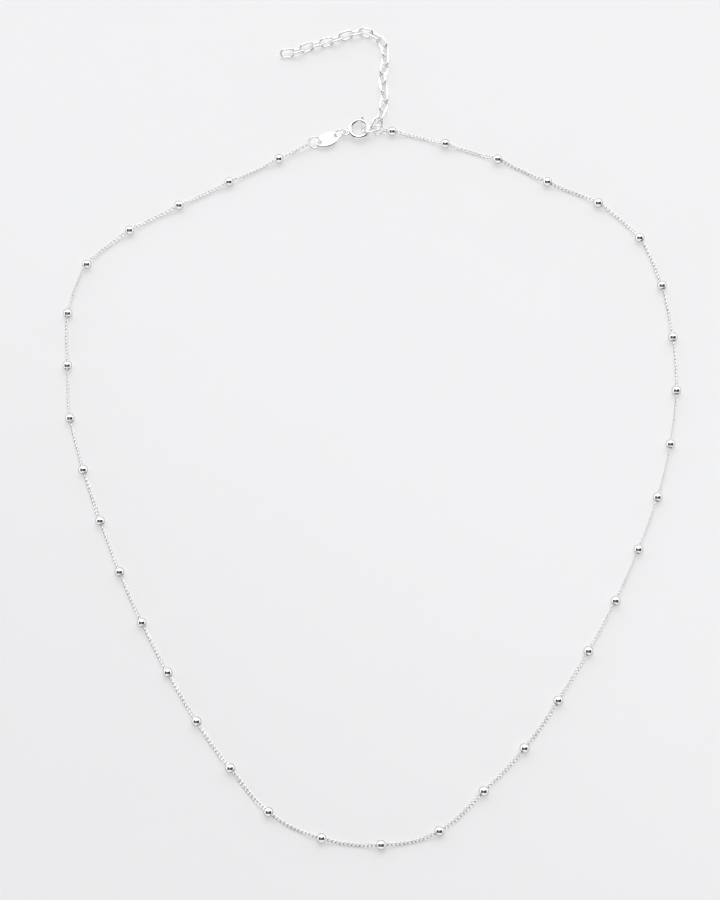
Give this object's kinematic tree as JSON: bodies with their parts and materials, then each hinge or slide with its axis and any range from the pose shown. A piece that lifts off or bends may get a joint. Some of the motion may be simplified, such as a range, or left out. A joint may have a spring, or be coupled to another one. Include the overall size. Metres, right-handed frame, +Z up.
{
  "type": "ball chain necklace",
  "caption": "Fine silver curb chain with small polished balls at even spacing, closed by a spring ring clasp, with an oval tag and a short extender chain.",
  "frame": {"origin": "on the surface that the necklace lies on, in the middle of its outline seen from above", "axes": "+Z up from the surface, +Y from the bottom of the loop towards the clasp, +X towards the extender's side of the clasp"},
  "size_m": [0.1309, 0.183, 0.0026],
  "materials": {
    "polished_silver": "mirror-polished sterling silver balls, faint hairlines",
    "chain_silver": "bright drawn silver wire, polished on the link's outer faces, darker between the links",
    "ring_silver": "polished silver wire",
    "clasp_silver": "polished silver tube, soldered eye",
    "bolt_silver": "drawn silver wire with fine wear marks from sliding",
    "tag_silver": "tumbled stamped sheet with a softly brushed flat face and no marking",
    "extender_silver": "polished silver wire links"
  },
  "bodies": {
    "necklace": {"ball_01": "polished_silver", "ball_02": "polished_silver", "ball_03": "polished_silver", "ball_04": "polished_silver", "ball_05": "polished_silver", "ball_06": "polished_silver", "ball_07": "polished_silver", "ball_08": "polished_silver", "ball_09": "polished_silver", "ball_10": "polished_silver", "ball_11": "polished_silver", "ball_12": "polished_silver", "ball_13": "polished_silver", "ball_14": "polished_silver", "ball_15": "polished_silver", "ball_16": "polished_silver", "ball_17": "polished_silver", "ball_18": "polished_silver", "ball_19": "polished_silver", "ball_20": "polished_silver", "ball_21": "polished_silver", "ball_22": "polished_silver", "ball_23": "polished_silver", "ball_24": "polished_silver", "ball_25": "polished_silver", "ball_26": "polished_silver", "ball_27": "polished_silver", "ball_28": "polished_silver", "ball_29": "polished_silver", "ball_30": "polished_silver", "ball_31": "polished_silver", "ball_32": "polished_silver", "ball_33": "polished_silver", "ball_34": "polished_silver", "ball_35": "polished_silver", "ball_36": "polished_silver", "fine_chain": "chain_silver", "right_end_ring": "ring_silver", "hook_ring": "ring_silver", "clasp_body": "clasp_silver", "tag_ring": "ring_silver", "oval_tag": "tag_silver", "left_end_ring": "ring_silver", "extender_chain": "extender_silver"},
    "clasp_bolt": {"clasp_bolt": "bolt_silver"}
  },
  "joints": [
    {"name": "clasp_bolt_slide", "type": "hinge", "parent": "necklace", "child": "clasp_bolt", "pos_m": [-0.0025, 0.0669, 0.00112], "axis": [0, 0, 1], "range_deg": [0, 45], "stiffness_Nm_per_rad": 0.0035, "springref_deg": -20.05}
  ]
}
